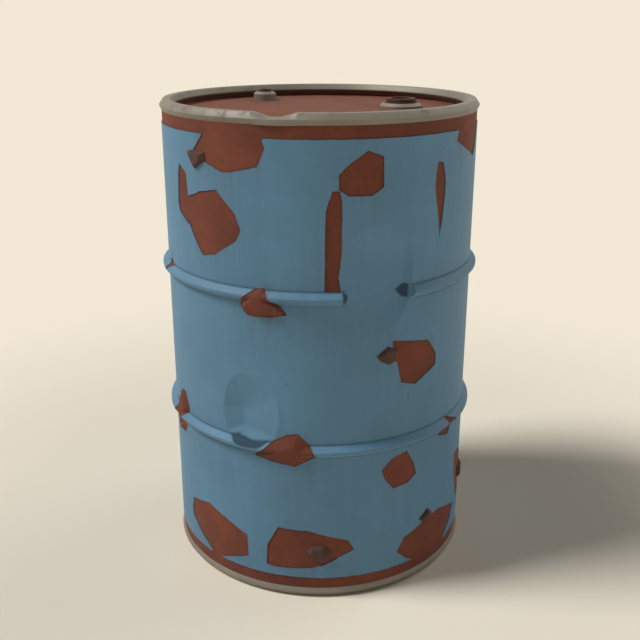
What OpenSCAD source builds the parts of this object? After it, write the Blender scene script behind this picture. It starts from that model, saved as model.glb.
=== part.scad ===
// Two hundred litre tight-head steel drum, dented and rusty, with two threaded bungs.
// The origin is on the floor under the middle of the drum; +Z is up, -Y is the front.

/* [Drum] */
// Overall height, floor to the top of the upper chime ring
drum_h = 878; // [700:1:1100]
// Inside diameter of the rolled body
body_d = 571.5; // [450:0.5:650]
// Thickness of the body and head sheet
sheet_t = 1.2; // [0.9:0.1:1.5]

/* [Rolling hoops] */
// Height of the middle of the lower hoop
hoop_low_z = 300; // [220:1:340]
// Height of the middle of the upper hoop
hoop_high_z = 579; // [480:1:640]
// Height of a hoop, from root to root
hoop_h = 23; // [18:1:34]
// How far a hoop stands proud of the wall
hoop_out = 11; // [6:0.5:14]

/* [Chime rings] */
// Width of a chime ring's section
ring_w = 26; // [24:0.5:34]
// Height of a chime ring's section
ring_h = 20; // [20:0.5:26]
// How far a chime ring stands proud of the wall
ring_out = 4; // [3.5:0.25:6]
// Thickness of the ring's steel strip
ring_t = 2; // [1.5:0.1:2.2]

/* [Heads] */
// Depth of a head's panel below its chime ring's face
countersink = 23; // [22:0.5:40]
// Bend radius between a head's panel and its wall
head_bend_r = 4; // [2:0.5:8]

/* [Double seam] */
// Thickness of the sealing compound between the folds
compound_t = 0.2; // [0.15:0.05:0.3]
// Height of the straight part of the folded seam
seam_h = 6.9; // [6:0.1:7]
// How deep each hook reaches past the other
hook_lap = 5.4; // [4:0.1:5.5]

/* [Side weld] */
// Angle of the body's welded side seam, from the front towards +X
weld_angle = 164; // [90:1:200]
// Width of the weld bead
weld_w = 6; // [3:0.5:12]
// Height of the weld bead over the wall
weld_out = 0.5; // [0.2:0.1:1]

/* [Upper dent] */
// Angle of the dent's middle, from the front towards +X
dent1_angle = 20.3; // [10:0.1:30]
// Height of the dent's middle
dent1_z = 614; // [560:1:660]
// Depth of the dent
dent1_depth = 15; // [8:0.5:20]
// Radius of the rounded floor that was pressed in
dent1_r = 260; // [150:5:400]

/* [Lower dent] */
// Angle of the dent's middle, from the front towards +X
dent2_angle = -25.4; // [-40:0.1:-15]
// Height of the dent's middle
dent2_z = 377; // [350:1:420]
// Depth of the dent
dent2_depth = 20; // [8:0.5:24]
// Radius of the rounded floor that was pressed in
dent2_r = 120; // [90:5:200]

/* [Crushed rim] */
// Angle of the crushed place, from the front towards +X
crush_angle = -14.5; // [-40:0.5:10]
// Length of rim that is crushed
crush_l = 82; // [50:1:120]
// How far the ring's top is pushed down
crush_depth = 8; // [4:0.5:9]

/* [Large bung] */
// Distance from the body's inner wall in to the middle of the bung
large_inset = 131.4; // [75:0.1:160]
// Angle of the bung, from the front towards +X
large_angle = 100.08; // [80:0.02:120]
// Outside radius of the flange
large_flange_r = 39; // [38:0.5:46]
// Height of the flange's straight side above the panel
large_side_h = 4; // [3:0.5:8]
// Height of the whole flange above the panel
large_flange_h = 9; // [8:0.5:14]
// Mean radius of the thread, for a 2 inch pipe thread
large_thread_r = 29.07; // [24:0.01:30]
// Length of thread that is engaged
large_thread_l = 13; // [8:0.5:20]
// Height of the plug's hub above the flange
large_hub_h = 8; // [4:0.5:9]
// Radius of the plug's hub
large_hub_r = 27.5; // [24:0.5:29]

/* [Small bung] */
// Distance from the body's inner wall in to the middle of the bung
small_inset = 84.1; // [55:0.1:130]
// Angle of the bung, from the front towards +X
small_angle = -146.94; // [-170:0.02:-100]
// Outside radius of the flange
small_flange_r = 22.5; // [22:0.5:30]
// Height of the flange's straight side above the panel
small_side_h = 12.5; // [8:0.5:14]
// Height of the whole flange above the panel
small_flange_h = 17; // [14:0.5:18]
// Mean radius of the thread, for a 3/4 inch pipe thread
small_thread_r = 12.64; // [10:0.01:13]
// Length of thread that is engaged
small_thread_l = 12; // [8:0.5:16]
// Height of the plug's hub above the flange
small_hub_h = 4.5; // [3:0.5:5]
// Radius of the plug's hub
small_hub_r = 12.5; // [10:0.5:13]

/* [Fits] */
// Clearance on the radius between a plug's thread and its flange
thread_gap = 0.1; // [0.05:0.01:0.3]
// Clearance between a plug's head and the recess around it
head_gap = 0.2; // [0.1:0.05:0.5]
// Clearance between a chime ring's inner lip and the head's wall
lip_gap = 0.15; // [0.12:0.01:0.4]
// Clearance on each face of the sealing compound
compound_gap = 0.03; // [0.02:0.01:0.05]

/* [Hidden] */
$fn = 180;
bend_steps = 5;                 // straight steps in each bend of a folded sheet
hoop_steps = 3;                 // straight steps in each bend of a rolling hoop
wall_in = body_d / 2;
wall_out = wall_in + sheet_t;
wall_mid = wall_in + sheet_t / 2;
panel_z = drum_h - countersink;           // upper face of the top head's panel
// chime ring
ring_r_out = wall_out + ring_out;
ring_r_in = ring_r_out - ring_w;
ring_base = drum_h - ring_h;
ring_mid_z = drum_h - ring_h / 2;
ring_bend = 3;
ring_shoulder = ring_w / 4;
// folds of the double seam, from the inside out
fold = sheet_t + compound_t;
seam_in = ring_r_in + ring_shoulder + ring_t + 0.7;      // middle of the head's wall
seam_top_z = drum_h - ring_t - 2 * fold - sheet_t / 2 - 0.2;
seam_low_z = seam_top_z - seam_h;
shelf_z = seam_low_z - fold - sheet_t - 0.3;             // middle of the body's inward shelf
neck_z = shelf_z - 25;                                   // where the plain wall ends
// places on the wall: angle a from the front towards +X
function around(r, a, z) = [r * sin(a), -r * cos(a), z];

// ---- sheet sections -------------------------------------------------------------
function unit(v) = v / norm(v);
function left_of(v) = [-v[1], v[0]];
// A corner of a path, replaced by an arc of radius r that touches both sides.
function bend(a, p, c, r, steps) =
    let (u = unit(a - p), v = unit(c - p), half = acos(max(-1, min(1, u * v))) / 2,
         reach = r / tan(half), from = p + u * reach, mid = p + unit(u + v) * r / sin(half),
         start = atan2(from[1] - mid[1], from[0] - mid[0]),
         turn = 180 - 2 * half, way = (u[0] * v[1] - u[1] * v[0]) > 0 ? -1 : 1)
    [for (i = [0:steps])
        mid + r * [cos(start + way * turn * i / steps), sin(start + way * turn * i / steps)]];
// A path of [x, y, bend radius] rows, with its corners bent.
function bent(rows, steps = bend_steps) =
    [for (i = [0:len(rows) - 1])
        let (p = [rows[i][0], rows[i][1]], r = rows[i][2])
        if (r == 0 || i == 0 || i == len(rows) - 1) p
        else each bend([rows[i - 1][0], rows[i - 1][1]], p, [rows[i + 1][0], rows[i + 1][1]], r, steps)];
// A half circle of a fold, in steps, about c from angle a0 to a1.
function fold_arc(c, r, a0, a1) =
    [for (i = [0:2 * bend_steps])
        let (a = a0 + (a1 - a0) * i / (2 * bend_steps)) c + r * [cos(a), sin(a)]];
// One side of a path, moved sideways by d with mitred corners.
function side(path, d) =
    [for (i = [0:len(path) - 1])
        let (n1 = left_of(unit(path[max(i, 1)] - path[max(i, 1) - 1])),
             k = min(i, len(path) - 2), n2 = left_of(unit(path[k + 1] - path[k])))
        path[i] + d * (n1 + n2) / (1 + n1 * n2)];
function reversed(list) = [for (i = [len(list) - 1:-1:0]) list[i]];
// A sheet of thickness t whose middle follows a path.
module sheet(path, t) {
    rotate_extrude() polygon(concat(side(path, t / 2), reversed(side(path, -t / 2))));
}
// The same end piece at the other end of the drum.
module other_end() { translate([0, 0, drum_h]) mirror([0, 0, 1]) children(); }

// ---- body -----------------------------------------------------------------------
// Half of a hoop's outline: a rounded crest that runs out into the wall.
function hoop_rows(z, r) = [
    [r, z - hoop_h / 2, hoop_h / 8], [r + hoop_out, z - hoop_h / 8, hoop_h / 6],
    [r + hoop_out, z + hoop_h / 8, hoop_h / 6], [r, z + hoop_h / 2, hoop_h / 8]];
function wall_rows(low, high) = concat([[wall_mid, low, 0]], hoop_rows(hoop_low_z, wall_mid),
    hoop_rows(hoop_high_z, wall_mid), [[wall_mid, high, 0]]);
// Everything inside one face of the wall, d outward from the wall's middle.
module wall_solid(low, high, d) {
    rotate_extrude()
        polygon(concat([[0, low]], side(bent(wall_rows(low, high), hoop_steps), -d), [[0, high]]));
}
// The ball that pressed a dent, grown by extra.
module dent_ball(angle, z, depth, r, extra) {
    translate(around(wall_out - depth + r, angle, z)) sphere(r = r + extra);
}
module dents(extra) {
    dent_ball(dent1_angle, dent1_z, dent1_depth, dent1_r, extra);
    dent_ball(dent2_angle, dent2_z, dent2_depth, dent2_r, extra);
}
// The wall, open where each dent is, and the pan of sheet that lines the dent.
module wall_with_dents() {
    union() {
        difference() {
            sheet(bent(wall_rows(drum_h - neck_z, neck_z), hoop_steps), sheet_t);
            dents(0);
        }
        intersection() {
            difference() { dents(sheet_t); dents(0); }
            wall_solid(drum_h - neck_z, neck_z, sheet_t / 2);
        }
    }
}
// The bar that crushed the rim, grown by extra: a round bar laid across it.
crush_bar_r = (pow(crush_l / 2, 2) + pow(crush_depth, 2)) / (2 * crush_depth);
module crush_bar(extra) {
    rotate([0, 0, crush_angle]) translate([0, 0, drum_h - crush_depth + crush_bar_r])
        rotate([90, 0, 0]) translate([0, 0, ring_r_in - 20])
            cylinder(r = crush_bar_r + extra, h = ring_w + 40);
}
function body_end_path() = concat(
    bent([[wall_mid, neck_z, 0], [wall_mid, shelf_z, 2.2], [seam_in + fold, shelf_z, 1.6],
          [seam_in + fold, seam_top_z, 0]]),
    fold_arc([seam_in + 2 * fold, seam_top_z], fold, 162, 0),
    [[seam_in + 3 * fold, seam_top_z - hook_lap]]);
module body_end() { sheet(body_end_path(), sheet_t); }
// The welded side seam, a low bead that stops short of both ends of the wall.
module weld_bead() {
    arc = weld_w / wall_out * 180 / PI;
    rows = bent(wall_rows(drum_h - neck_z + 4, neck_z - 4), hoop_steps);
    rotate([0, 0, weld_angle - 90 - arc / 2]) rotate_extrude(angle = arc)
        polygon(concat(side(rows, 0), reversed(side(rows, -sheet_t / 2 - weld_out))));
}
module body_shell() {
    color("steelblue") union() {
        wall_with_dents();
        difference() { body_end(); crush_bar(ring_t); }
        other_end() body_end();
        weld_bead();
    }
}

// ---- heads and seams ------------------------------------------------------------
function head_rows() = [[0, panel_z - sheet_t / 2, 0],
    [seam_in, panel_z - sheet_t / 2, head_bend_r], [seam_in, seam_top_z, 0]];
function head_path() = concat(
    bent(head_rows()),
    fold_arc([seam_in + 2 * fold, seam_top_z], 2 * fold, 162, 0),
    fold_arc([seam_in + 3 * fold, seam_low_z], fold, 0, -180),
    [[seam_in + 2 * fold, seam_low_z + hook_lap]]);
module plain_head() {
    path = head_path();
    rotate_extrude() polygon(concat([[0, panel_z]],
        [for (p = side([for (i = [1:len(path) - 1]) path[i]], sheet_t / 2)) p],
        reversed(side([for (i = [1:len(path) - 1]) path[i]], -sheet_t / 2)),
        [[0, panel_z - sheet_t]]));
}
module top_head() {
    color("sienna") difference() {
        plain_head();
        crush_bar(ring_t);
        at_large() translate([0, 0, panel_z - 10]) cylinder(r = large_neck_r, h = 20);
        at_small() translate([0, 0, panel_z - 10]) cylinder(r = small_neck_r, h = 20);
    }
}
module bottom_head() { color("sienna") other_end() plain_head(); }
// Compound between the folds: beside the body's wall, over its edge and round its hook.
module seam_compound() {
    path = concat([[seam_in + fold / 2, seam_low_z], [seam_in + fold / 2, seam_top_z]],
        fold_arc([seam_in + 2 * fold, seam_top_z], 1.5 * fold, 162, 0),
        [[seam_in + 3.5 * fold, seam_low_z + compound_t]]);
    sheet(path, compound_t - 2 * compound_gap);
}
module top_seam_compound() {
    color("dimgray") difference() { seam_compound(); crush_bar(ring_t); }
}
module bottom_seam_compound() { color("dimgray") other_end() seam_compound(); }

// ---- chime rings ----------------------------------------------------------------
lip_z = ring_base + ring_t / 2;
function ring_path() = bent([
    [seam_in - sheet_t / 2 - lip_gap, lip_z, 0],
    [ring_r_in + ring_shoulder - ring_t / 2, lip_z, ring_bend / 3],
    [ring_r_in + ring_t / 2, ring_mid_z, ring_bend],
    [ring_r_in + ring_shoulder, drum_h - ring_t / 2, ring_bend],
    [ring_r_out - ring_shoulder, drum_h - ring_t / 2, ring_bend],
    [ring_r_out - ring_t / 2, ring_mid_z, ring_bend],
    [wall_out + ring_t / 2 + 0.4, lip_z + ring_t, ring_bend / 3],
    [wall_out, lip_z + ring_t, 0]]);
module chime_ring() { sheet(ring_path(), ring_t); }
// The ring's outline filled in, above its lips.
module ring_filled() {
    rotate_extrude() polygon(side(ring_path(), ring_t / 2));
}
module top_chime_ring() {
    color("gray") union() {
        difference() { chime_ring(); crush_bar(0); }
        intersection() {
            difference() { crush_bar(ring_t); crush_bar(0); }
            ring_filled();
        }
    }
}
module bottom_chime_ring() { color("gray") other_end() chime_ring(); }

// ---- bungs ----------------------------------------------------------------------
gasket_h = 2;                   // plug gasket
seat_h = 1.5;                   // flange gasket
lip_h = 2.5;                    // lip swaged under the head
neck_wall = 3.3;
large_neck_r = large_thread_r + thread_gap + neck_wall;
small_neck_r = small_thread_r + thread_gap + neck_wall;
recess_wall = 3.2;              // from the flange's bore out to the wall of its recess
function recess_r(thread_r) = thread_r + recess_wall;
head_h = 3;                     // plug's head, flush with the flange
function seat_z(flange_h) = panel_z + flange_h - head_h - gasket_h;
module at_large() { translate(around(wall_in - large_inset, large_angle, 0)) children(); }
module at_small() { translate(around(wall_in - small_inset, small_angle, 0)) children(); }

// Flange: a ring over the panel, a neck through it and a lip swaged out beneath it.
module flange(r, side_h, h, thread_r, thread_l, neck_r) {
    bore = thread_r + thread_gap;
    rec = recess_r(thread_r);
    low = min(seat_z(h) - thread_l, panel_z - sheet_t - lip_h - 1);
    groove_in = neck_r + 0.8;
    groove_out = r - 1.4;
    rotate_extrude() polygon([
        [bore, low], [neck_r, low], [neck_r, panel_z - sheet_t - lip_h],
        [neck_r + 3, panel_z - sheet_t - lip_h + 0.8], [neck_r + 3, panel_z - sheet_t],
        [neck_r, panel_z - sheet_t], [neck_r, panel_z], [groove_in, panel_z],
        [groove_in, panel_z + seat_h], [groove_out, panel_z + seat_h], [groove_out, panel_z],
        [r, panel_z], [r, panel_z + side_h], [rec + 1, panel_z + h],
        [rec, panel_z + h], [rec, seat_z(h)], [bore, seat_z(h)]]);
}
module flange_gasket(r, neck_r) {
    rotate_extrude() translate([neck_r + 0.8, panel_z])
        square([r - 1.4 - neck_r - 0.8, seat_h]);
}
module plug_gasket(thread_r, h) {
    rotate_extrude() translate([thread_r + thread_gap, seat_z(h)])
        square([recess_wall - thread_gap - head_gap, gasket_h]);
}
// Plug: threaded shank, a head that closes the recess, and a hub with a wrench socket.
module plug(thread_r, thread_l, h, hub_r, hub_h) {
    shank_z = seat_z(h) - thread_l;
    edge = 0.8;
    rotate_extrude() polygon([
        [0, shank_z], [thread_r - 1.5, shank_z], [thread_r, shank_z + 1.5],
        [thread_r, seat_z(h) + gasket_h], [recess_r(thread_r) - head_gap, seat_z(h) + gasket_h],
        [recess_r(thread_r) - head_gap, panel_z + h], [hub_r, panel_z + h],
        [hub_r, panel_z + h + hub_h - edge], [hub_r - edge, panel_z + h + hub_h],
        [0, panel_z + h + hub_h]]);
}
module large_flange() {
    color("gray") at_large() flange(large_flange_r, large_side_h, large_flange_h,
        large_thread_r, large_thread_l, large_neck_r);
}
module large_flange_gasket() {
    color("black") at_large() flange_gasket(large_flange_r, large_neck_r);
}
module large_plug_gasket() {
    color("black") at_large() plug_gasket(large_thread_r, large_flange_h);
}
// The large plug's socket is round, with two lugs that the wrench turns.
module large_plug() {
    socket_r = large_hub_r - 7;
    socket_h = large_hub_h + 5;
    top = panel_z + large_flange_h + large_hub_h;
    color("saddlebrown") at_large() difference() {
        plug(large_thread_r, large_thread_l, large_flange_h, large_hub_r, large_hub_h);
        translate([0, 0, top - socket_h]) difference() {
            cylinder(r = socket_r, h = socket_h + 1);
            for (s = [-1, 1]) translate([s * (socket_r + 1) - 5, -5, -1]) cube([10, 10, socket_h - 1]);
        }
    }
}
module small_flange() {
    color("gray") at_small() flange(small_flange_r, small_side_h, small_flange_h,
        small_thread_r, small_thread_l, small_neck_r);
}
module small_flange_gasket() {
    color("black") at_small() flange_gasket(small_flange_r, small_neck_r);
}
module small_plug_gasket() {
    color("black") at_small() plug_gasket(small_thread_r, small_flange_h);
}
// The small plug has a square socket.
module small_plug() {
    socket_w = 2 * small_hub_r * 0.46;
    socket_h = small_hub_h + 5;
    top = panel_z + small_flange_h + small_hub_h;
    color("saddlebrown") at_small() difference() {
        plug(small_thread_r, small_thread_l, small_flange_h, small_hub_r, small_hub_h);
        translate([-socket_w / 2, -socket_w / 2, top - socket_h])
            cube([socket_w, socket_w, socket_h + 1]);
    }
}

// ---- rust scabs -----------------------------------------------------------------
// A thick, angular scab of rust on the wall. Its outline is a list of [along, up]
// corners about its middle, and its crown is the same outline drawn in.
module scab(angle, z, outline, height) {
    root = 3;
    crown = 0.62;
    color("saddlebrown") difference() {
        translate(around(wall_out, angle, z)) rotate([0, 0, angle]) rotate([90, 0, 0])
            hull() {
                translate([0, 0, -root]) linear_extrude(root + 0.5) polygon(outline);
                translate([0, 0, height - 0.5]) linear_extrude(0.5) polygon(crown * outline);
            }
        translate([0, 0, z - 60]) cylinder(r = wall_out, h = 120);
    }
}
module rust_scab_shoulder() {
    scab(-45, 795, [[-23, 12], [-7, 16], [21, 13], [22, -1], [-3, -17]], 7);
}
module rust_scab_waist() {
    scab(24, 470, [[-22, 2], [-1, 18], [19, 10], [18, -12], [3, -18], [-14, -9]], 7);
}
module rust_scab_foot() {
    scab(-0.5, 91, [[-22, 7], [-14, 17], [11, 18], [25, 4], [11, -18], [-8, -13]], 6);
}
module rust_scab_corner() {
    scab(44, 123, [[-19, 0], [5, 15], [19, 3], [-3, -16]], 7);
}
module rust_scab_side() {
    scab(78, 143, [[-12, 14], [8, 20], [16, -6], [-2, -19], [-15, -8]], 7);
}

body_shell();
top_head();
bottom_head();
top_seam_compound();
bottom_seam_compound();
top_chime_ring();
bottom_chime_ring();
large_flange();
large_flange_gasket();
large_plug_gasket();
large_plug();
small_flange();
small_flange_gasket();
small_plug_gasket();
small_plug();
rust_scab_shoulder();
rust_scab_waist();
rust_scab_foot();
rust_scab_corner();
rust_scab_side();
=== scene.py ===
"""Finish of a dented, rusty steel drum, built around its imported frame.

Every length is in metres. Angles round the drum are measured at its axis from the front (-Y)
towards +X, and "along" is the same angle as a length on the wall.
"""
import math

import bpy
import numpy as np
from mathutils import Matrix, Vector


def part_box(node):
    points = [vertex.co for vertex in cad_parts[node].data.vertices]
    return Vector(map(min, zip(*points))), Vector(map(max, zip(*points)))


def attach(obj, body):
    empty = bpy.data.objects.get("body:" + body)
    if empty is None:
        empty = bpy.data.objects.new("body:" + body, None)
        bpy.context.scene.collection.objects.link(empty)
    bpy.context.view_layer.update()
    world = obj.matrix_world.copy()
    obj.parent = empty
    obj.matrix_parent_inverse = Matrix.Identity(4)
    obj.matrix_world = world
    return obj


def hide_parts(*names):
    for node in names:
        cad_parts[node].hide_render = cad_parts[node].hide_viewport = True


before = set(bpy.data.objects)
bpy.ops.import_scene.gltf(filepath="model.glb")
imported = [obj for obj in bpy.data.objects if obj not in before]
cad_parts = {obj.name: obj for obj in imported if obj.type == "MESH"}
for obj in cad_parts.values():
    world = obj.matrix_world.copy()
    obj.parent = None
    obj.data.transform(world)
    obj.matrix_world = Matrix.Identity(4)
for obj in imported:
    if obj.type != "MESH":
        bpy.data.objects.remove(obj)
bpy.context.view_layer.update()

bl_info = {
    "name": "Rusty Oil Drum",
    "version": (1, 0, 0),
    "blender": (4, 5, 0),
    "location": "View3D > Sidebar > Drum",
    "description": "Builds the wall, flaking paint, chimes, bungs and rust of a steel oil drum",
    "category": "Object",
}

MM = 0.001
TURN = 2 * math.pi
TOP_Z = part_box("top_chime_ring")[1].z
RING_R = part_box("bottom_chime_ring")[1].x
RING_TALL, RING_WIDE = 20 * MM, 26 * MM        # a rim's section
WALL_R = RING_R - 4 * MM                       # outside of the plain wall
WALL_LOW, WALL_HIGH = 17 * MM, 861 * MM        # the wall's ends, inside the rims
SHEET = 1.2 * MM                               # thickness of the wall
HOOP_Z = (300 * MM, 579 * MM)
WELD_ANGLE = math.radians(164)

# Where the paint has gone: outlines on the wall as (along, height) in millimetres.
BARE = {
    "shoulder": [(-207, 850), (-207, 838), (-232, 810), (-203, 793), (-168, 780), (-150, 781),
                 (-100, 793), (-87, 823), (-93, 838), (-93, 850)],
    "cheek": [(-279, 783), (-257, 768), (-253, 730), (-256, 680), (-284, 698), (-289, 713),
              (-285, 762)],
    "blot": [(-256, 728), (-221, 742), (-180, 750), (-143, 714), (-133, 688), (-142, 669),
             (-187, 640), (-218, 633), (-240, 662), (-259, 692)],
    "plate": [(30, 783), (48, 800), (77, 820), (104, 810), (105, 761), (85, 748), (46, 749),
              (31, 760)],
    "strip": [(21, 758), (32, 757), (36, 742), (36, 654), (31, 616), (35, 590), (8, 591),
              (10, 727)],
    "drip": [(213, 794), (228, 789), (236, 757), (235, 728), (231, 697), (226, 663), (221, 694),
             (209, 750), (210, 772)],
    "corner": [(271, 850), (271, 837), (264, 820), (302, 804), (345, 785), (361, 800),
               (371, 838), (371, 850)],
    "hoop_end": [(-350, 602), (-325, 591), (-341, 584), (-356, 558)],
    "hoop_crust": [(-109, 592), (-93, 594), (-82, 577), (-65, 565), (-53, 550), (-70, 546),
                   (-111, 543), (-132, 551), (-137, 562), (-133, 574)],
    "low_edge": [(-319, 351), (-303, 350), (-287, 321), (-291, 312), (-314, 295), (-322, 283),
                 (-304, 284), (-302, 280), (-317, 261), (-333, 259), (-344, 287), (-344, 315),
                 (-338, 331)],
    "low_crust": [(-118, 283), (-79, 318), (-55, 331), (-37, 333), (-16, 312), (-4, 292),
                  (-42, 269), (-82, 275)],
    "foot_left": [(-291, 131), (-231, 146), (-188, 133), (-138, 112), (-136, 67), (-200, 43),
                  (-200, 30), (-225, 30), (-225, 41), (-293, 87), (-299, 100)],
    "foot_middle": [(-76, 143), (-37, 140), (-24, 141), (52, 118), (64, 98), (28, 79), (6, 67),
                    (-13, 62), (-37, 59), (-83, 57), (-99, 60), (-97, 101)],
    "knee": [(165, 279), (183, 249), (190, 225), (169, 212), (138, 209), (121, 231),
             (113, 251), (131, 269)],
    "foot_right": [(338, 93), (318, 62), (285, 43), (285, 30), (191, 30), (191, 41), (171, 51),
                   (150, 71), (166, 97), (209, 111), (244, 119), (263, 120), (316, 103)],
    "hoop_spot": [(269, 313), (299, 302), (298, 290), (288, 270), (269, 273), (245, 283),
                  (258, 285), (271, 288), (270, 302)],
    "side_low": [(362, 207), (330, 208), (334, 164), (360, 96), (401, 91), (420, 130),
                 (398, 181)],
    "waist": [(128, 497), (207, 482), (230, 451), (230, 430), (178, 406), (148, 415),
              (138, 456), (129, 486)],
    "right_blot": [(520, 706), (565, 731), (612, 716), (634, 668), (600, 618), (548, 610),
                   (511, 652)],
    "right_spot": [(455, 428), (492, 452), (528, 431), (534, 392), (499, 366), (461, 384)],
    "back_top": [(690, 850), (690, 812), (733, 776), (792, 789), (826, 818), (826, 850)],
    "back_strip": [(742, 560), (764, 553), (770, 480), (762, 402), (752, 368), (741, 431),
                   (736, 505)],
    "back_blot": [(-842, 733), (-781, 758), (-722, 731), (-709, 668), (-748, 612),
                  (-812, 604), (-853, 655)],
    "back_low": [(600, 197), (664, 232), (741, 214), (779, 165), (752, 112), (676, 88),
                 (611, 121)],
    "back_foot": [(-820, 30), (-820, 62), (-771, 121), (-690, 134), (-631, 92), (-602, 30)],
    "left_blot": [(-612, 476), (-548, 505), (-489, 478), (-472, 421), (-515, 372),
                  (-581, 383), (-620, 428)],
    "left_top": [(-583, 850), (-583, 806), (-541, 771), (-482, 783), (-451, 815), (-451, 850)],
    "left_low": [(-498, 226), (-446, 241), (-404, 207), (-417, 158), (-469, 141), (-506, 176)],
}
BAND_LOW, BAND_HIGH = 41 * MM, 838 * MM        # the paint's two straight edges
COAT_LOW, COAT_HIGH = 36 * MM, 846 * MM        # ends of its grid, a little past them
# Dents: the outline on the wall as (along, height), then the deepest points of the creased
# floor as (along, height, share of the dent's depth).
DENTS = {
    "upper": ([(35, 642), (43, 682), (59, 701), (108, 702), (144, 690), (157, 665), (166, 628),
               (164, 595), (155, 558), (134, 524), (95, 509), (61, 532), (42, 570)],
              [(149, 640, 1.0), (151, 592, 1.0)]),
    "lower": ([(-182, 362), (-173, 405), (-148, 433), (-127, 440), (-112, 436), (-93, 420),
               (-76, 405), (-70, 357), (-77, 322), (-107, 311), (-148, 310), (-172, 318)],
              [(-146, 362, 1.0), (-128, 324, 0.6)]),
}
# Painted shade in the paint where the hoops end or are crushed at the dents, as (along, height).
HOOP_END_SHADE = {
    "upper_left": [(37, 592), (47, 584), (45, 573), (38, 569)],
    "upper_right": [(136, 584), (151, 594), (159, 592), (157, 570), (147, 571)],
    "lower": [(-170, 314), (-150, 317), (-136, 313), (-121, 311), (-102, 312), (-88, 315),
              (-100, 305), (-110, 301), (-126, 300), (-144, 300), (-156, 304)],
}
# Patches where rust has swollen over a hoop: how far its flat crown stands proud, and the
# width of the slopes round it.
CRUSTS = {"hoop_crust": (12 * MM, 12 * MM), "low_crust": (11.6 * MM, 20 * MM),
          "low_edge": (8 * MM, 9 * MM)}


# ---- sizes and colours a user can change ----------------------------------------

def tone(red, green, blue):
    """A display colour from 0 to 255 as the linear colour that shaders take."""
    def channel(c):
        c /= 255
        return c / 12.92 if c <= 0.04045 else ((c + 0.055) / 1.055) ** 2.4
    return channel(red), channel(green), channel(blue)


def shade(colour, by):
    """A colour made darker or lighter, with no channel over 1."""
    return tuple(min(1, c * by) for c in colour)


def colour_prop(name, value, about):
    return bpy.props.FloatVectorProperty(name=name, description=about, default=tone(*value),
                                         subtype="COLOR", size=3, min=0, max=1)


def length_prop(name, value, about):
    return bpy.props.FloatProperty(name=name, description=about, default=value, min=0,
                                   subtype="DISTANCE", unit="LENGTH", precision=4)


class DrumSizes(bpy.types.PropertyGroup):
    paint_thick: length_prop("Paint thickness", 1.4 * MM, "How far the paint stands proud")
    upper_depth: length_prop("Upper dent", 10 * MM, "Depth of the upper dent's crease")
    lower_depth: length_prop("Lower dent", 13 * MM, "Depth of the lower dent's crease")
    crush_depth: length_prop("Crushed rim", 8 * MM, "How far the rim is pushed down")
    hoop_out: length_prop("Hoop", 11 * MM, "How far a rolling hoop stands proud")


class DrumColours(bpy.types.PropertyGroup):
    paint: colour_prop("Paint", (89, 133, 162), "Weathered blue paint")
    # This dark blue is also the base of the painted shade in the hoops' roots and dented ends.
    paint_dark: colour_prop("Paint, grimy", (78, 119, 146), "Paint where grime has settled")
    rust: colour_prop("Rust", (121, 63, 42), "Thin rust on the sheet")
    rust_dark: colour_prop("Rust, dark", (87, 42, 30), "Thick, dark rust")
    head: colour_prop("Head", (118, 66, 45), "Rust on the heads")
    head_dark: colour_prop("Head, dark", (87, 45, 32), "Darker rust on the heads")
    chime: colour_prop("Chime", (131, 125, 115), "Bare grey steel of the rims")
    bung: colour_prop("Bung", (92, 57, 45), "Rusted iron of the plugs")
    floor: colour_prop("Floor", (242, 232, 213), "Floor and backdrop")


# ---- meshes ---------------------------------------------------------------------

def put_mesh(name, points, faces, body, material, crease=35, attributes=None):
    """A new object from a point array and a face array (all triangles or all quads).

    crease is the angle in degrees above which an edge stays sharp."""
    mesh = bpy.data.meshes.new(name)
    count, corners = faces.shape
    mesh.vertices.add(len(points))
    mesh.vertices.foreach_set("co", np.asarray(points, np.float32).ravel())
    mesh.loops.add(count * corners)
    mesh.loops.foreach_set("vertex_index", faces.astype(np.int32).ravel())
    mesh.polygons.add(count)
    mesh.polygons.foreach_set("loop_start", np.arange(0, count * corners, corners, np.int32))
    mesh.update(calc_edges=True)
    for key, values in (attributes or {}).items():
        mesh.attributes.new(key, "FLOAT", "POINT").data.foreach_set(
            "value", np.asarray(values, np.float32))
    mesh.polygons.foreach_set("use_smooth", np.ones(count, bool))
    if crease:
        mesh.set_sharp_from_angle(angle=math.radians(crease))
    mesh.materials.append(material)
    thing = bpy.data.objects.new(name, mesh)
    bpy.context.scene.collection.objects.link(thing)
    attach(thing, body)
    return thing


def grid_faces(rows, columns, wrap_rows, wrap_columns):
    """Quads of a grid of points: (i, j), (i, j+1), (i+1, j+1), (i+1, j)."""
    i, j = np.meshgrid(np.arange(rows if wrap_rows else rows - 1),
                       np.arange(columns if wrap_columns else columns - 1), indexing="ij")
    i, j = i.ravel(), j.ravel()
    up, on = (i + 1) % rows, (j + 1) % columns
    return np.stack([i * columns + j, i * columns + on, up * columns + on, up * columns + j], 1)


def on_drum(angle, radius, height):
    """Points at an angle round the drum: x = r sin a, y = -r cos a."""
    return np.stack([radius * np.sin(angle), -radius * np.cos(angle), height], -1)


def wave_noise(a, b, seed, octaves=4):
    """Smooth noise from -1 to 1: a sum of crossed sine waves whose pitch and phase are drawn
    from a seeded generator, each octave finer and weaker than the one before."""
    draw = np.random.default_rng(seed)
    total, weight = 0, 0
    for octave in range(octaves):
        size = 0.6 ** octave
        for _ in range(3):
            turn, phase = draw.uniform(0, TURN, 2)
            pitch = 2.1 ** octave * draw.uniform(0.7, 1.3)
            bend = draw.uniform(0.5, 1.5)
            along = a * math.cos(turn) + b * math.sin(turn)
            across = b * math.cos(turn) - a * math.sin(turn)
            total = total + size * np.sin(pitch * along + phase + bend * np.sin(pitch * across))
            weight += size
    return total / weight * 1.6


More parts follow.
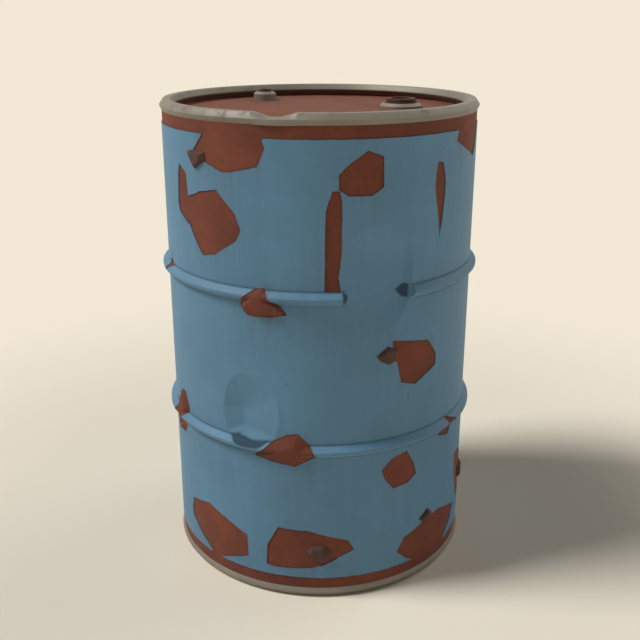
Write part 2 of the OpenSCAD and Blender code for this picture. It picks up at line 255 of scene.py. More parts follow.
def polygon_distance(along, height, outline):
    """Signed distance in metres from points to an outline, positive inside.

    The distance is the least over the outline's edges; a point is inside where a ray in +along
    crosses the outline an odd number of times."""
    corners = np.array(outline, float) * MM
    x, y = along[..., None], height[..., None]
    x0, y0 = corners[:, 0], corners[:, 1]
    x1, y1 = np.roll(x0, -1), np.roll(y0, -1)
    dx, dy = x1 - x0, y1 - y0
    t = np.clip(((x - x0) * dx + (y - y0) * dy) / (dx * dx + dy * dy), 0, 1)
    near = np.hypot(x - x0 - t * dx, y - y0 - t * dy).min(-1)
    step = np.where(dy == 0, 1e-12, dy)
    crosses = ((y0 > y) != (y1 > y)) & (x < x0 + dx * (y - y0) / step)
    return np.where(crosses.sum(-1) % 2 == 1, near, -near)


def inside_outlines(angle, height, outlines, blur):
    """1 inside any of the outlines and 0 outside, with an edge as wide as blur."""
    along = angle * WALL_R
    reach = 150 * MM                           # farther than any corner from its outline's middle
    total = np.zeros(angle.shape)
    for outline in outlines:
        centre = sum(p[0] for p in outline) / len(outline) * MM
        local = wrapped(along, centre)
        close = np.abs(local - centre) < reach
        if close.any():
            found = polygon_distance(local[close], height[close], outline)
            total[close] = np.maximum(total[close], np.clip(0.5 + found / blur, 0, 1))
    return total


def wrapped(along, centre):
    """Along, moved by whole turns to within half a turn of centre."""
    girth = TURN * WALL_R
    return along - girth * np.round((along - centre) / girth)


def bare_distance(angle, height, only=None):
    """Signed distance to the bare metal, positive inside it: the largest over all outlines and
    the strips above and below the paint, or that of one named outline by itself, with a ragged
    edge from fine noise."""
    along = angle * WALL_R
    ragged = 0.5 * MM * wave_noise(along / (6 * MM), height / (6 * MM), 5, 3)
    if only:
        outlines, best = [BARE[only]], np.full(along.shape, -1.0)
    else:
        outlines, best = BARE.values(), np.maximum(BAND_LOW - height, height - BAND_HIGH)
    for outline in outlines:
        centre = sum(p[0] for p in outline) / len(outline) * MM
        reach = max(abs(p[0] * MM - centre) for p in outline) + 40 * MM
        local = wrapped(along, centre)
        close = np.abs(local - centre) < reach
        if close.any():
            found = polygon_distance(local[close], height[close], outline)
            best[close] = np.maximum(best[close], found)
    return best + ragged


# ---- shape of the wall ----------------------------------------------------------

def hoop_swell(height, out):
    """Both rolling hoops: a trapezoid, out high, with its corners rounded by averaging it over
    a few nearby heights."""
    crown, foot = 2.6 * MM, 11 * MM            # half widths, at the top and at the wall
    shift = np.linspace(-0.8, 0.8, 5) * MM
    total = 0
    for z in HOOP_Z:
        reach = np.abs(height[..., None] + shift - z)
        total = total + np.interp(reach, [0, crown, foot], [out, out, 0]).mean(-1)
    return total


def pit_floor(angle, height, outline, floor, depth):
    """Radius of a creased dent. A plane passes through each edge of its outline on the wall
    and a point of its floor, and the farthest plane out along each ray from the axis counts.
    Outside the outline it rises 3 for 1, so that a hoop ends steeply at the dent."""
    steep, margin = 3, 12 * MM
    rim = np.array(outline, float) * MM
    centre, middle = rim.mean(0)
    reach = np.abs(rim - (centre, middle)).max(0) + margin
    rim = on_drum(rim[:, 0] / WALL_R, WALL_R, rim[:, 1])
    low = np.array(floor, float)
    deep = on_drum(low[:, 0] * MM / WALL_R, WALL_R - depth * low[:, 2], low[:, 1] * MM)
    ray = np.stack([np.sin(angle), -np.cos(angle)], -1)
    best = np.zeros(angle.shape)
    for p, q in zip(rim, np.roll(rim, -1, 0), strict=True):
        for bottom in deep:
            normal = np.cross(q - p, bottom - p)
            normal = normal / np.linalg.norm(normal)
            normal = normal * np.sign(normal[:2] @ p[:2])
            if ((deep - p) @ normal).min() > -1e-6:
                break
        facing = ray @ normal[:2]
        cut = (p @ normal - height * normal[2]) / np.maximum(facing, 0.02)
        best = np.maximum(best, np.where(facing > 0.02, cut, 1.0))
    along = wrapped(angle * WALL_R, centre)
    near = (np.abs(along - centre) < reach[0]) & (np.abs(height - middle) < reach[1])
    outside = np.maximum(-polygon_distance(along[near], height[near], outline), 0)
    best[near] += steep * outside
    return np.where(near, best, 1.0)


def wall_radius(angle, height):
    """Outside radius of the bare sheet: the hoops, the side weld with its beads, rust swollen
    over the hoops, and the two dents as the lesser of the wall and each dent's floor."""
    sizes = bpy.context.scene.drum_sizes
    radius = WALL_R + hoop_swell(height, sizes.hoop_out)
    along = angle * WALL_R
    turn = np.mod(angle - WELD_ANGLE + math.pi, TURN) - math.pi
    from_weld = turn * WALL_R / (3 * MM)       # in widths of the weld
    beads = 0.5 + 0.5 * np.sin(height / (2.4 * MM)) * np.exp(-from_weld ** 2)
    radius = radius + (0.45 + 0.1 * beads) * MM * np.exp(-from_weld ** 4)
    for name, (proud, slope) in CRUSTS.items():
        inside = np.clip(bare_distance(angle, height, name) / slope, 0, 1)
        lumps = 0.3 * MM * wave_noise(along / (9 * MM), height / (9 * MM), 8, 3)
        radius = np.maximum(radius, WALL_R + (proud + lumps) * inside)
    for name, depth in (("upper", sizes.upper_depth), ("lower", sizes.lower_depth)):
        radius = np.minimum(radius, pit_floor(angle, height, *DENTS[name], depth))
    return radius


def heights(low, high, coarse):
    """Row heights from low to high: evenly spaced, with closer rows across each hoop."""
    closest = 0.6 * MM
    half = (1.4, 2.4, 3.2, 4, 5, 7, 9, 10, 11, 12, 13)
    rows = list(np.arange(low, high, coarse)) + [high]
    for z in HOOP_Z:
        rows += [z + d * MM for d in (*(-d for d in half), 0, *half)]
    rows = np.unique(np.round([r for r in rows if low <= r <= high], 5))
    keep = [rows[0]]
    for r in rows[1:]:
        if r - keep[-1] > closest:
            keep.append(r)
    keep[-1] = high
    return np.array(keep)


def front_angles(fine):
    """Column angles for a full turn: fine steps across the dents, twice as coarse beside them
    and four times as coarse round the back."""
    parts = [np.arange(-40, 36, fine), np.arange(36, 100, 2 * fine),
             np.arange(100, 260, 4 * fine), np.arange(260, 320, 2 * fine)]
    return np.radians(np.concatenate(parts))


def build_wall(material):
    """The rolled body as a closed sheet: its outer rows going up, then its inner rows coming
    down, carried all the way round. Well under the paint it lies deeper by its own thickness."""
    outer = heights(WALL_LOW, WALL_HIGH, 7 * MM)
    inner = heights(WALL_LOW, WALL_HIGH, 26 * MM)[::-1]
    a, z = np.meshgrid(front_angles(0.5), np.concatenate([outer, inner]))
    bare = bare_distance(a, z)
    under_paint = np.clip(-bare / (12 * MM) - 0.5, 0, 1)
    radius = wall_radius(a, z) - SHEET * under_paint
    radius[len(outer):] -= SHEET
    points = on_drum(a, radius, z).reshape(-1, 3)
    faces = grid_faces(*a.shape, True, True)
    wall = put_mesh("drum_wall", points, faces, "drum", material, 30,
                    {"bare": np.clip(bare / (20 * MM), -1, 1).ravel()})
    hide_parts("body_shell")


def cut_to_field(points, field, triangles):
    """Keeps the part of a triangle mesh where a field on its points is positive.

    A triangle with one or two positive corners is cut where the field, taken as straight
    along each edge, is zero. Returns the new points and triangles."""
    positive = field > 0
    count = positive[triangles].sum(1)
    whole = triangles[count == 3]
    cut = triangles[(count == 1) | (count == 2)]
    flags = positive[cut]
    odd = np.where(flags.sum(1) == 1, flags.argmax(1), (~flags).argmax(1))
    rows = np.arange(len(cut))
    a, b, c = cut[rows, odd], cut[rows, (odd + 1) % 3], cut[rows, (odd + 2) % 3]
    edges = np.concatenate([np.stack([a, b], 1), np.stack([a, c], 1)])
    edges.sort(1)
    unique, inverse = np.unique(edges, axis=0, return_inverse=True)
    inverse = inverse.ravel()
    f0, f1 = field[unique[:, 0]], field[unique[:, 1]]
    t = np.clip(f0 / (f0 - f1), 0.02, 0.98)[:, None]
    middle = points[unique[:, 0]] * (1 - t) + points[unique[:, 1]] * t
    ab = len(points) + inverse[:len(cut)]
    ac = len(points) + inverse[len(cut):]
    lone = flags.sum(1) == 1
    made = [whole, np.stack([a, ab, ac], 1)[lone],
            np.stack([ab, b, c], 1)[~lone], np.stack([ab, c, ac], 1)[~lone]]
    made = np.concatenate(made)
    everything = np.concatenate([points, middle])
    used, index = np.unique(made, return_inverse=True)
    return everything[used], index.reshape(-1, 3)


def weld_seam(points, faces, tolerance=1e-6):
    """Joins points that lie at the same place, as at the two ends of a full turn."""
    keys = np.round(points / tolerance).astype(np.int64)
    _, first, inverse = np.unique(keys, axis=0, return_index=True, return_inverse=True)
    faces = inverse.ravel()[faces]
    sound = ((faces[:, 0] != faces[:, 1]) & (faces[:, 1] != faces[:, 2])
             & (faces[:, 2] != faces[:, 0]))
    return first, faces[sound]


def open_edges(faces):
    """The directed edges of a triangle mesh that have no neighbour."""
    edges = np.concatenate([faces[:, [0, 1]], faces[:, [1, 2]], faces[:, [2, 0]]])
    ordered = np.sort(edges, 1)
    _, inverse, counts = np.unique(ordered, axis=0, return_inverse=True, return_counts=True)
    return edges[counts[inverse.ravel()] == 1]


def build_coat(name, low, high, material):
    """A stretch of the paint as a closed shell: a grid over the wall, cut along the edge of
    the bare patches, its twin on the sheet's surface, and a rim that joins the two."""
    thick = bpy.context.scene.drum_sizes.paint_thick
    gap = 0.02 * MM                            # between the paint and the sheet
    angle = front_angles(0.45)
    angle = np.append(angle, angle[0] + TURN)
    rows = heights(low, high, 3.2 * MM)
    a, z = np.meshgrid(angle, rows)
    quads = grid_faces(*a.shape, False, False)
    triangles = np.concatenate([quads[:, [0, 1, 2]], quads[:, [0, 2, 3]]])
    flat = np.stack([a.ravel(), z.ravel()], 1)
    flat, triangles = cut_to_field(flat, -bare_distance(a, z).ravel(), triangles)
    a, z = flat[:, 0], flat[:, 1]
    sheet = wall_radius(a, z)
    bare = bare_distance(a, z)
    outer = on_drum(a, sheet + thick, z)
    first, triangles = weld_seam(outer, triangles)
    outer, inner = outer[first], on_drum(a, sheet + gap, z)[first]
    rim = open_edges(triangles)
    n = len(outer)
    rim_a = np.stack([rim[:, 1], rim[:, 0], rim[:, 0] + n], 1)
    rim_b = np.stack([rim[:, 1], rim[:, 0] + n, rim[:, 1] + n], 1)
    faces = np.concatenate([triangles, triangles[:, ::-1] + n, rim_a, rim_b])
    edge = np.clip(-bare[first] / (30 * MM), 0, 1)
    a, z = a[first], z[first]
    whole = np.clip((sheet[first] - WALL_R) / MM + 1.5, 0, 1)
    # Painted shade: darker paint in the roots of the hoops and where the hoops end at the dents.
    grime_and_shade = np.maximum(hoop_root_shade(z) * whole, inside_outlines(a, z, HOOP_END_SHADE.values(), 2 * MM))
    put_mesh(name, np.concatenate([outer, inner]), faces, "drum", material, 32,
             {"edge": np.tile(edge, 2), "stain": np.tile(stains(a, z), 2),
              "grime_and_shade": np.tile(grime_and_shade, 2)})


def hoop_root_shade(height):
    """Painted shade in the root above each hoop, and less of it in the root below: two narrow
    bells.
    """
    root, spread = 12.3, 1.5 * MM
    total = 0
    for z in HOOP_Z:
        for at, share in ((root, 0.62), (-root, 0.3)):
            total = total + share * np.exp(-((height - z - at * MM) / spread) ** 2)
    return total


def stains(angle, height):
    """Rust washed down below each bare patch, from 0 to 1: strongest just under its lowest
    edge, fading over its own length, and broken into streaks by noise that is long in height."""
    along = angle * WALL_R
    total = np.zeros(angle.shape)
    for outline in BARE.values():
        corners = np.array(outline, float) * MM
        centre = corners[:, 0].mean()
        local = wrapped(along, centre)
        order = np.argsort(corners[:, 0])
        edges = np.sort(corners[order, 0])
        under = np.interp(local, edges, corners[order, 1], left=-1, right=-1)
        low = np.minimum(under, corners[:, 1].mean())
        drop = (low - height) / (90 * MM)
        side = np.clip(np.minimum(local - edges[0], edges[-1] - local) / (8 * MM), 0, 1)
        total = np.maximum(total, np.where(drop > -0.4, side * np.clip(1 - drop, 0, 1), 0))
    streak = wave_noise(along / (5 * MM), height / (120 * MM), 21, 3)
    return np.clip(total * np.clip(0.35 + 0.9 * streak, 0, 1), 0, 1)


# ---- rims -----------------------------------------------------------------------

def chime_outline():
    """The rolled rim's section as (radius, height above its lower edge), a hexagon with
    rounded corners, going round clockwise from its inner lip."""
    out, width, tall, slope = RING_R, RING_WIDE, RING_TALL, 6.5 * MM
    lip, ease = 0.6 * MM, 0.8 * MM             # the lower edge's lift, a corner's rounding
    corners = np.array([(out - width + slope - 1 * MM, lip), (out - width, tall / 2),
                        (out - width + slope, tall), (out - slope, tall), (out, tall / 2),
                        (out - 4.4 * MM, lip)])
    before, after = np.roll(corners, 1, 0), np.roll(corners, -1, 0)
    rounded = []
    for p, c, q in zip(before, corners, after, strict=True):
        u = (p - c) / np.linalg.norm(p - c)
        v = (q - c) / np.linalg.norm(q - c)
        for t in (0, 0.5, 1):
            rounded.append((1 - t) ** 2 * (c + ease * u) + 2 * t * (1 - t) * c
                           + t ** 2 * (c + ease * v))
        rounded.append((c + q) / 2)
    return np.array(rounded)


def build_chime(name, top, material):
    """A rim: its section carried round the drum. At the crushed place of the upper rim a
    creased notch pushes the upper half of the section down and in, the more the higher it is,
    and its lower edge out. outward runs from 0 at the inner lip to 1 near the outer edge."""
    section = chime_outline()
    angle = np.radians(np.concatenate([np.arange(-30, 5, 0.25), np.arange(5, 330, 1)]))
    a, radius = np.meshgrid(angle, section[:, 0])
    rise = np.meshgrid(angle, section[:, 1])[1]
    share = rise / RING_TALL
    outward = np.clip((radius - RING_R + 20 * MM) / (13 * MM), 0, 1)
    ding = 0.14 * MM * wave_noise(a * WALL_R / (22 * MM), share * 2, 31 if top else 32, 3)
    if top:
        fall = np.interp(np.degrees(a), [-22.3, -16.5, -12.5, -7], [0, 1, 0.95, 0])
        depth = bpy.context.scene.drum_sizes.crush_depth
        upper = np.clip(2 * share - 1, 0, 1)
        rise = rise - depth * fall * upper
        radius = radius - depth * fall * upper * (0.3 + 0.7 * outward)
        bulge = 4.5 * MM
        radius = radius + bulge * fall * outward * np.clip(1 - 1.8 * share, 0.05, 1)
    radius = radius + ding * share
    faces = grid_faces(*a.shape, True, True)
    if top:
        height = np.minimum(TOP_Z - RING_TALL + rise, TOP_Z)
        faces = faces[:, ::-1]
    else:
        height = np.maximum(RING_TALL - rise, 0)
    points = on_drum(a, radius, height).reshape(-1, 3)
    inner = np.clip((RING_R - 20.5 * MM - radius) / MM, 0, 1) * (share < 0.46)
    ring = put_mesh(name, points, faces, "drum", material, 20,
                    {"inner": inner.ravel()})
    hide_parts("top_chime_ring" if top else "bottom_chime_ring")


# ---- bungs ----------------------------------------------------------------------

def build_plug(node, body, material, crest, pitch, seat, head, hub, rise, socket, deep, lugs):
    """A screw plug as rings of points about its own axis, from the middle of its foot, up the
    threaded shank, over the head and hub, and down into the socket to its middle.

    crest, head and hub are radii. The shank runs from the plug's foot up to seat, the head is
    3 mm high and the hub stands rise above it. The thread is right-handed: its radius falls
    from the crest by a triangle wave of (height / pitch - turns), and it fades out over a
    pitch at both ends. socket is the socket's radius, or half its side if it is square, and
    lugs is how far the two lugs reach into it."""
    low, high = (np.array(corner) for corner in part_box(node))
    x, y = (low[:2] + high[:2]) / 2
    edge, foot, top = 0.8 * MM, low[2], high[2]        # edge is the width of its bevels
    angle = np.radians(np.arange(0, 360, 3.0))
    thread = np.arange(foot + 1.5 * MM, seat, pitch / 8)
    a, z = np.meshgrid(angle, thread)
    wave = np.abs(2 * np.mod(z / pitch - a / TURN, 1) - 1)
    fade = np.clip(np.minimum(z - thread[0], seat - z) / pitch, 0, 1)
    shank = crest - 0.55 * pitch * fade * np.clip(1.3 - 1.5 * wave, 0, 1)
    if lugs:
        inner = np.where(np.abs(np.cos(angle)) < 0.25, socket - lugs, socket)
        opening = np.full(angle.shape, socket)
    else:
        inner = opening = socket / np.maximum(np.abs(np.sin(angle)), np.abs(np.cos(angle)))
    step = np.where(inner < opening, 2 * MM, 3.5 * MM)
    rings = [(crest - 6 * MM, foot), (crest - 1.5 * MM, foot), *zip(shank, z, strict=True),
             (crest, seat), (head - edge / 2, seat), (head, seat + edge / 2),
             (head, top - rise - edge / 2), (head - edge / 2, top - rise),
             (hub, top - rise), (hub, top - edge), (hub - edge, top),
             (opening + edge / 2, top), (opening, top - edge / 2), (opening, top - 2 * MM)]
    if lugs:
        rings.append((inner, top - step))
    rings += [(inner, top - deep), (inner * 0.5, top - deep)]
    radius = np.stack([np.broadcast_to(r, angle.shape) for r, _ in rings])
    height = np.stack([np.broadcast_to(h, angle.shape) for _, h in rings])
    points = on_drum(angle, radius, height).reshape(-1, 3) + (x, y, 0)
    points = np.concatenate([points, [(x, y, foot), (x, y, top - deep)]])
    quads = grid_faces(*radius.shape, False, True)
    here, count = np.arange(len(angle)), len(angle)
    on, last, end = (here + 1) % count, radius.size - count, radius.size
    faces = np.concatenate([
        quads[:, [0, 1, 2]], quads[:, [0, 2, 3]],
        np.stack([on, here, np.full(count, end)], 1),
        np.stack([last + here, last + on, np.full(count, end + 1)], 1)])
    plug = put_mesh(node + "_iron", points, faces, body, material, 28)
    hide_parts(node)


# ---- shaders --------------------------------------------------------------------

class Term:
    """A shader value. Arithmetic on it adds Math nodes to its finish."""

    def __init__(self, finish, socket):
        self.finish, self.socket = finish, socket

    def maths(self, operation, first, second):
        return self.finish.node("ShaderNodeMath", {"operation": operation},
                                {0: first, 1: second})[0]

    def __add__(self, other):
        return self.maths("ADD", self, other)

    def __radd__(self, other):
        return self.maths("ADD", other, self)

    def __sub__(self, other):
        return self.maths("SUBTRACT", self, other)

    def __rsub__(self, other):
        return self.maths("SUBTRACT", other, self)

    def __mul__(self, other):
        return self.maths("MULTIPLY", self, other)

    def __rmul__(self, other):
        return self.maths("MULTIPLY", other, self)

    def clamped(self):
        return self.finish.node("ShaderNodeClamp", {}, {0: self})[0]

    def between(self, low, high):
        """0 below low and 1 above high, smoothly."""
        return self.finish.node("ShaderNodeMapRange", {"interpolation_type": "SMOOTHSTEP"},
                                {"Value": self, "From Min": low, "From Max": high})[0]


class Finish:
    """A material being made. Every one of its nodes comes from node()."""

    def __init__(self, name):
        self.material = bpy.data.materials.new(name)
        self.material.use_nodes = True
        self.tree = self.material.node_tree
        self.tree.nodes.clear()
        self.place = self.node("ShaderNodeTexCoord")["Object"]

    def node(self, kind, settings=None, values=None):
        """Adds a node: its settings first, then the values or links of its sockets. Returns
        its outputs by name and by number."""
        made = self.tree.nodes.new(kind)
        for key, value in (settings or {}).items():
            setattr(made, key, value)
        for key, value in (values or {}).items():
            if isinstance(value, Term):
                self.tree.links.new(value.socket, made.inputs[key])
            else:
                made.inputs[key].default_value = value
        outputs = {k: Term(self, s) for k, s in enumerate(made.outputs)}
        outputs.update({s.name: outputs[k] for k, s in enumerate(made.outputs)
                        if s.name not in outputs})
        return outputs

    def noise(self, scale, detail, rough, stretch=None):
        """Cloudy noise from 0 to 1; stretch is its pitch along each axis."""
        at = self.place
        if stretch:
            at = self.node("ShaderNodeMapping", {}, {"Vector": at, "Scale": stretch})[0]
        return self.node("ShaderNodeTexNoise", {}, {"Vector": at, "Scale": scale,
                         "Detail": detail, "Roughness": rough})[0]

    def mix(self, share, first, second):
        """A colour that share takes from first, at 0, to second, at 1."""
        def colour(value):
            return value if isinstance(value, Term) else (*value, 1)
        return self.node("ShaderNodeMix", {"data_type": "RGBA"},
                         {0: share, 6: colour(first), 7: colour(second)})[2]

    def attribute(self, name):
        return self.node("ShaderNodeAttribute", {"attribute_name": name})["Fac"]

    def bump(self, height, distance, strength):
        return self.node("ShaderNodeBump", {}, {"Height": height, "Distance": distance,
                         "Strength": strength})[0]

    def surface(self, **sockets):
        """Ends the finish with a Principled shader, and returns the material."""
        shader = self.node("ShaderNodeBsdfPrincipled", {},
                           {k.replace("_", " "): v for k, v in sockets.items()})[0]
        self.node("ShaderNodeOutputMaterial", {}, {"Surface": shader})
        return self.material


def rust_finish(name, light, dark, fine, bare=False):
    """Rust: broad light and dark clouds, fine grain, dark pits and a few orange blooms, and, if
    bare is set, a darker line just inside the edge of the bare metal: dirt, and painted shade at
    the foot of the paint's edge."""
    f = Finish(name)
    cloud = f.noise(9 * fine, 5, 0.62).between(0.32, 0.68)
    grain = f.noise(160 * fine, 3, 0.7)
    bloom = f.noise(24 * fine, 4, 0.65).between(0.6, 0.78)
    pits = f.noise(75 * fine, 2, 0.5).between(0.66, 0.78)
    colour = f.mix(cloud * 0.6 + grain * 0.2 + 0.1, dark, light)
    orange = tuple(min(1, c * k) for c, k in zip(light, (1.5, 1.25, 0.9), strict=True))
    colour = f.mix(bloom * 0.35, colour, orange)
    colour = f.mix(pits * 0.4, colour, shade(dark, 0.45))
    if bare:
        # Dirt, and painted shade: a darker line on the bare metal along the foot of the paint's
        # edge.
        rim = 1 - f.attribute("bare").between(0.0, 0.14)
        colour = f.mix(rim * 0.5, colour, shade(dark, 0.5))
    height = grain * 0.5 + cloud * 0.9 - pits * 0.8
    return f.surface(Base_Color=colour, Roughness=0.78 + grain * 0.2,
                     Normal=f.bump(height, 0.0011, 0.5), Metallic=0.0)


def paint_finish(paint, grime_and_shade_tone, rust):
    """Old paint: chalky clouds, fine streaks that also paint faint bands of light and shade,
    pin-prick rust, rust stains that run down from the bare patches, an edge that has lifted and
    browned, and painted shade, nearly black, in the roots of the hoops and at their dented ends,
    where the paint is also rougher with dirt."""
    f = Finish("weathered_paint")
    edge, stain, grime_and_shade = (f.attribute(key) for key in ("edge", "stain", "grime_and_shade"))
    cloud = f.noise(5, 6, 0.6).between(0.3, 0.7)
    # Vertical streaks of chalkier blue: weathering, and painted light and shade in bands as on a
    # faceted wall.
    runs_and_facet_light = f.noise(1, 4, 0.6, stretch=(70, 70, 4)).between(0.35, 0.7)
    speck = f.noise(140, 2, 0.5).between(0.73, 0.8)
    grain = f.noise(320, 2, 0.6)
    chalk_and_facet_light = tuple(min(1, c * 1.13 + 0.012) for c in paint)
    colour = f.mix(cloud, grime_and_shade_tone, paint)
    colour = f.mix(runs_and_facet_light * 0.18, colour, chalk_and_facet_light)
    washed = tuple(0.5 * a + 0.5 * b for a, b in zip(rust, grime_and_shade_tone, strict=True))
    colour = f.mix(stain * 0.34, colour, washed)
    lifted = (1 - edge.between(0.0, 0.085)) * f.noise(60, 3, 0.6).between(0.3, 0.62)
    colour = f.mix(lifted * 0.32, colour, shade(grime_and_shade_tone, 0.55))
    colour = f.mix(speck * 0.5, colour, rust)
    # Painted shade, nearly black, in the hoops' roots and at their dented ends.
    colour = f.mix(grime_and_shade.clamped() * 0.85, colour, shade(grime_and_shade_tone, 0.2))
    height = grain * 0.25 + cloud * 0.35 - speck * 0.5 + (1 - edge.between(0, 0.07)) * 0.8
    return f.surface(Base_Color=colour, Roughness=0.52 + cloud * 0.12 + grain * 0.1 + grime_and_shade * 0.3,
                     Normal=f.bump(height, 0.0007, 0.35))


def steel_finish(name, steel, rust, worn, inner=None):
    """Weathered bare steel: grey clouds, drawn scratches, brown rust in patches, the stronger
    the more it is worn, and all rust where the attribute named by inner is 1."""
    f = Finish(name)
    cloud = f.noise(14, 5, 0.6).between(0.3, 0.7)
    scuff = f.noise(1, 3, 0.55, stretch=(60, 60, 420)).between(0.45, 0.75)
    grain = f.noise(260, 2, 0.6)
    brown = f.noise(19, 5, 0.68).between(0.56, 0.76)
    colour = f.mix(cloud, shade(steel, 0.86), steel)
    colour = f.mix(scuff * 0.4, colour, shade(steel, 1.12))
    colour = f.mix(brown * worn, colour, rust)
    if inner:
        grainy = f.mix(grain, rust, shade(rust, 1.5))
        colour = f.mix(f.attribute(inner), colour, grainy)
    height = grain * 0.4 + scuff * 0.3 + brown * 0.6
    return f.surface(Base_Color=colour, Roughness=0.5 + brown * 0.3 + grain * 0.12,
                     Metallic=0.25 - brown * 0.2, Normal=f.bump(height, 0.0006, 0.4))


def rubber_finish():
    """Perished rubber: dark, with paler dust in clouds."""
    f = Finish("perished_rubber")
    dust = f.noise(90, 4, 0.6)
    colour = f.mix(dust.between(0.4, 0.75), tone(28, 27, 26), tone(52, 48, 44))
    return f.surface(Base_Color=colour, Roughness=0.75 + dust * 0.15,
                     Normal=f.bump(dust, 0.0004, 0.4))


def dress(node, material):
    """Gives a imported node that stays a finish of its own."""
    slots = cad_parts[node].data.materials
    if slots:
        slots[0] = material
    else:
        slots.append(material)


# ---- operators ------------------------------------------------------------------

class Builder(bpy.types.Operator):
    """What every building step shares"""
    bl_options = {"REGISTER", "UNDO"}

    @property
    def colours(self):
        return bpy.context.scene.drum_colours


class DrumWall(Builder):
    """Builds the rusty sheet of the body, with its hoops and dents"""
    bl_idname = "drum.wall"
    bl_label = "Drum wall"

    def execute(self, context):
        c = self.colours
        build_wall(rust_finish("wall_rust", tuple(c.rust), tuple(c.rust_dark), 1.0, True))
        return {"FINISHED"}


class DrumPaint(Builder):
    """Builds the flaking paint in three stretches that meet on the hoops"""
    bl_idname = "drum.paint"
    bl_label = "Paint"

    def execute(self, context):
        c = self.colours
        finish = paint_finish(tuple(c.paint), tuple(c.paint_dark), tuple(c.rust_dark))
        build_coat("paint_low", COAT_LOW, HOOP_Z[0], finish)
        build_coat("paint_middle", HOOP_Z[0], HOOP_Z[1], finish)
        build_coat("paint_high", HOOP_Z[1], COAT_HIGH, finish)
        return {"FINISHED"}


class DrumChimes(Builder):
    """Builds the two rims"""
    bl_idname = "drum.chimes"
    bl_label = "Rims"

    def execute(self, context):
        c = self.colours
        finish = steel_finish("chime_steel", tuple(c.chime), tuple(c.rust_dark), 0.22, "inner")
        build_chime("chime_top", True, finish)
        build_chime("chime_bottom", False, finish)
        return {"FINISHED"}


class DrumHeads(Builder):
    """Finishes the two heads and their seams"""
    bl_idname = "drum.heads"
    bl_label = "Heads"

    def execute(self, context):
        c = self.colours
        finish = rust_finish("head_rust", tuple(c.head), tuple(c.head_dark), 0.8)
        for node in ("top_head", "bottom_head"):
            dress(node, finish)
        rubber = rubber_finish()
        for node in ("top_seam_compound", "bottom_seam_compound", "large_flange_gasket",
                     "small_flange_gasket", "large_plug_gasket", "small_plug_gasket"):
            dress(node, rubber)
        return {"FINISHED"}


class DrumBungs(Builder):
    """Finishes the flanges and builds the plugs"""
    bl_idname = "drum.bungs"
    bl_label = "Bungs"

    def execute(self, context):
        c = self.colours
        flange = steel_finish("flange_steel", tuple(c.chime), tuple(c.rust_dark), 0.35)
        plug = rust_finish("plug_rust", tuple(c.bung), shade(c.bung, 0.5), 2.0)
        for node in ("large_flange", "small_flange"):
            dress(node, flange)
        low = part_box("large_plug")[0].z
        build_plug("large_plug", "large_plug", plug, crest=29.07 * MM, pitch=2.309 * MM,
                   seat=low + 15 * MM, head=32.07 * MM, hub=27.5 * MM, rise=8 * MM,
                   socket=20.5 * MM, deep=13 * MM, lugs=4 * MM)
        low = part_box("small_plug")[0].z
        build_plug("small_plug", "small_plug", plug, crest=12.64 * MM, pitch=1.814 * MM,
                   seat=low + 14 * MM, head=15.64 * MM, hub=12.5 * MM, rise=4.5 * MM,
                   socket=5.75 * MM, deep=9.5 * MM, lugs=0)
        return {"FINISHED"}


class DrumScabs(Builder):
    """Finishes the lumps of rust on the wall"""
    bl_idname = "drum.scabs"
    bl_label = "Rust lumps"

    def execute(self, context):
        finish = rust_finish("scab_rust", tone(88, 62, 52), tone(56, 38, 32), 3.0)
        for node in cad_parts:
            if node.startswith("rust_scab"):
                dress(node, finish)
        return {"FINISHED"}


class DrumStage(Builder):
    """Sets the floor, lights and camera"""
    bl_idname = "drum.stage"
    bl_label = "Stage"

    def execute(self, context):
        scene = context.scene
        scene.view_settings.view_transform = "Standard"
        backdrop = tuple(self.colours.floor)
        floor_stage(backdrop)
        world_light(backdrop)
        sun("key", azimuth=-83, elevation=50, strength=2.6, softness=18)
        sun("rim", azimuth=120, elevation=35, strength=0.62, softness=40)
        sun("fill", azimuth=50, elevation=15, strength=0.25, softness=40)
        camera()
        return {"FINISHED"}


def floor_stage(colour):
    """A pale floor that takes the drum's shadow. With distance it fades to a glow of its own
    colour, as a lit backdrop."""
    f = Finish("pale_floor")
    away = f.node("ShaderNodeVectorMath", {"operation": "LENGTH"}, {0: f.place})["Value"]
    fade = away.between(0.55, 1.7)
    matt = f.node("ShaderNodeBsdfDiffuse", {}, {"Color": (*colour, 1)})[0]
    glow = f.node("ShaderNodeEmission", {}, {"Color": (*colour, 1), "Strength": 1.0})[0]
    both = f.node("ShaderNodeMixShader", {}, {0: fade, 1: matt, 2: glow})[0]
    f.node("ShaderNodeOutputMaterial", {}, {"Surface": both})
    mesh = bpy.data.meshes.new("floor")
    side = 30
    mesh.from_pydata([(-side, -side, 0), (side, -side, 0), (side, side, 0), (-side, side, 0)],
                     [], [(0, 1, 2, 3)])
    mesh.materials.append(f.material)
    floor = bpy.data.objects.new("floor", mesh)
    bpy.context.scene.collection.objects.link(floor)


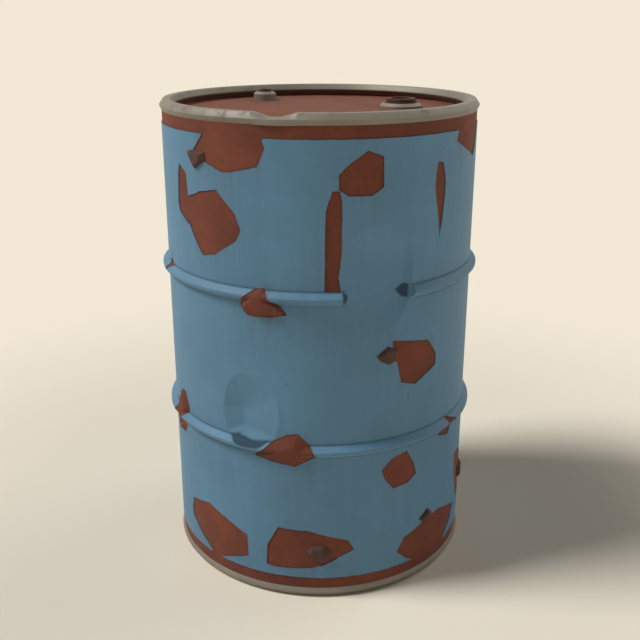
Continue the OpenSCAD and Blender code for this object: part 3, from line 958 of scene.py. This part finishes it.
def world_light(colour):
    """Even light from all round. The camera, reflections and anything seen through glass
    meet the backdrop's own colour."""
    even_light = 0.06
    world = bpy.data.worlds.new("studio")
    bpy.context.scene.world = world
    world.use_nodes = True
    tree = world.node_tree
    tree.nodes.clear()
    path = tree.nodes.new("ShaderNodeLightPath")
    seen, light = (tree.nodes.new("ShaderNodeBackground") for _ in range(2))
    seen.inputs[0].default_value = (*colour, 1)
    seen.inputs[1].default_value = 1.0
    light.inputs[0].default_value = (1, 1, 1, 1)
    light.inputs[1].default_value = even_light
    both = tree.nodes.new("ShaderNodeMixShader")
    out = tree.nodes.new("ShaderNodeOutputWorld")
    shown = path.outputs["Is Camera Ray"]
    for kind in ("Is Glossy Ray", "Is Transmission Ray"):
        either = tree.nodes.new("ShaderNodeMath")
        either.operation = "MAXIMUM"
        tree.links.new(shown, either.inputs[0])
        tree.links.new(path.outputs[kind], either.inputs[1])
        shown = either.outputs[0]
    tree.links.new(shown, both.inputs[0])
    tree.links.new(light.outputs[0], both.inputs[1])
    tree.links.new(seen.outputs[0], both.inputs[2])
    tree.links.new(both.outputs[0], out.inputs[0])


def aim(thing, at, target):
    """Places a lamp or camera and turns it to face a point."""
    thing.location = at
    thing.rotation_euler = (Vector(target) - Vector(at)).to_track_quat("-Z", "Y").to_euler()


def sun(name, azimuth, elevation, strength, softness):
    """A far soft box: azimuth from the front towards +X, and softness its width, in degrees."""
    data = bpy.data.lights.new(name, "SUN")
    data.energy, data.angle = strength, math.radians(softness)
    thing = bpy.data.objects.new(name, data)
    bpy.context.scene.collection.objects.link(thing)
    a, e = math.radians(azimuth), math.radians(elevation)
    far = 3
    aim(thing, (far * math.sin(a) * math.cos(e), -far * math.cos(a) * math.cos(e),
                far * math.sin(e)), (0, 0, 0))


def camera():
    """A 50 mm lens, looking down on the drum at about 19 degrees."""
    data = bpy.data.cameras.new("camera")
    data.lens, data.sensor_width = 50, 36
    thing = bpy.data.objects.new("camera", data)
    bpy.context.scene.collection.objects.link(thing)
    eye, middle = (0.001, -1.6734, 1.0300), (0.001, 0, 0.4427)
    aim(thing, eye, middle)
    bpy.context.scene.camera = thing


class DrumPanel(bpy.types.Panel):
    """Lists the drum's sizes, colours and building steps"""
    bl_idname = "VIEW3D_PT_drum"
    bl_label = "Oil drum"
    bl_space_type = "VIEW_3D"
    bl_region_type = "UI"
    bl_category = "Drum"

    def draw(self, context):
        for group in (context.scene.drum_sizes, context.scene.drum_colours):
            box = self.layout.box()
            for key in group.__annotations__:
                box.prop(group, key)
        for step in STEPS:
            self.layout.operator(step.bl_idname)


STEPS = (DrumWall, DrumPaint, DrumChimes, DrumHeads, DrumBungs, DrumScabs, DrumStage)
CLASSES = (DrumSizes, DrumColours, *STEPS, DrumPanel)


def register():
    for cls in CLASSES:
        bpy.utils.register_class(cls)
    bpy.types.Scene.drum_sizes = bpy.props.PointerProperty(type=DrumSizes)
    bpy.types.Scene.drum_colours = bpy.props.PointerProperty(type=DrumColours)


def unregister():
    del bpy.types.Scene.drum_colours
    del bpy.types.Scene.drum_sizes
    for cls in reversed(CLASSES):
        bpy.utils.unregister_class(cls)


def main():
    register()
    for step in STEPS:
        group, name = step.bl_idname.split(".")
        getattr(getattr(bpy.ops, group), name)()


if __name__ == "__main__":
    main()
